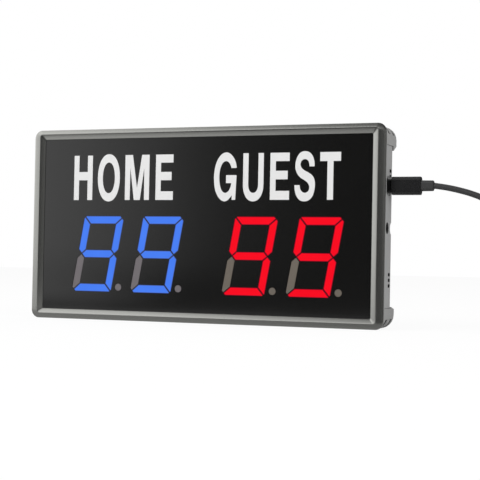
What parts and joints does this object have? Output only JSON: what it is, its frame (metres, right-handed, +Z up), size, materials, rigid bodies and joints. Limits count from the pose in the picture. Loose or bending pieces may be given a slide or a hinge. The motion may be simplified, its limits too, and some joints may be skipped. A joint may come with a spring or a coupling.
{
  "type": "electronic scoreboard",
  "caption": "Slim rectangular score display with slanted digits behind a black panel, gunmetal bezel, ribbed corner feet, recessed side button and a USB power lead.",
  "frame": {"origin": "middle of the base the board stands on, measured without the lead", "axes": "+Z up, +X to the viewer's right along the board, the display faces -Y"},
  "size_m": [0.3609, 0.0401, 0.117],
  "materials": {
    "bezel": "gunmetal lacquer, glossy",
    "panel": "black acrylic, polished",
    "blue_segments": "translucent diffuser lit blue",
    "red_segments": "translucent diffuser lit red",
    "unlit_segments": "translucent diffuser, unlit",
    "white_print": "white screen print",
    "digit_housing": "moulded, matt",
    "shell": "grey moulding, fine texture",
    "bumper": "grey soft moulding",
    "circuit_board": "green solder mask",
    "chip": "black epoxy",
    "tinned_metal": "bright nickel plate",
    "screw_steel": "zinc plate",
    "black_plastic": "black moulding, satin",
    "battery_foil": "wrapped pouch",
    "wire": "insulated",
    "connector": "ivory moulding",
    "cord": "satin jacket",
    "tie": "hook-and-loop strap"
  },
  "bodies": {
    "scoreboard": {"front_bezel": "bezel", "display_panel": "panel", "digit_housing_1": "digit_housing", "digit_housing_2": "digit_housing", "digit_housing_3": "digit_housing", "digit_housing_4": "digit_housing", "digit_diffuser_1": "blue_segments", "digit_diffuser_2": "blue_segments", "digit_diffuser_3": "red_segments", "digit_diffuser_4": "red_segments", "display_board": "circuit_board", "control_board": "circuit_board", "digit_driver_chip_1": "chip", "digit_driver_chip_2": "chip", "controller_chip": "chip", "radio_receiver": "tinned_metal", "buzzer": "black_plastic", "usb_socket": "tinned_metal", "power_switch": "black_plastic", "battery_pack": "battery_foil", "battery_bracket": "screw_steel", "battery_wire_1": "wire", "battery_wire_2": "wire", "battery_plug": "connector", "link_plug_left": "connector", "link_plug_right": "connector", "link_cable": "connector", "rear_shell": "shell", "corner_bumper_lower_left": "bumper", "corner_bumper_lower_right": "bumper", "corner_bumper_upper_left": "bumper", "corner_bumper_upper_right": "bumper", "case_screw_1": "screw_steel", "case_screw_2": "screw_steel", "case_screw_3": "screw_steel", "case_screw_4": "screw_steel", "board_screw_1": "screw_steel", "board_screw_2": "screw_steel", "board_screw_3": "screw_steel", "board_screw_4": "screw_steel", "board_screw_5": "screw_steel", "board_screw_6": "screw_steel", "bracket_screw_1": "screw_steel", "bracket_screw_2": "screw_steel", "usb_plug_shell": "tinned_metal", "usb_plug_body": "black_plastic", "usb_strain_relief": "black_plastic", "cord_run": "cord", "cord_coil": "cord", "cord_tie": "tie", "cord_tail": "cord", "far_strain_relief": "black_plastic", "far_plug_body": "black_plastic", "far_plug_shell": "tinned_metal"},
    "button": {"power_button": "black_plastic", "switch_plunger": "screw_steel"}
  },
  "joints": [
    {"name": "button_press", "type": "slide", "parent": "scoreboard", "child": "button", "axis": [-1, 0, 0], "range_m": [0, 0.0008], "stiffness_N_per_m": 600}
  ]
}
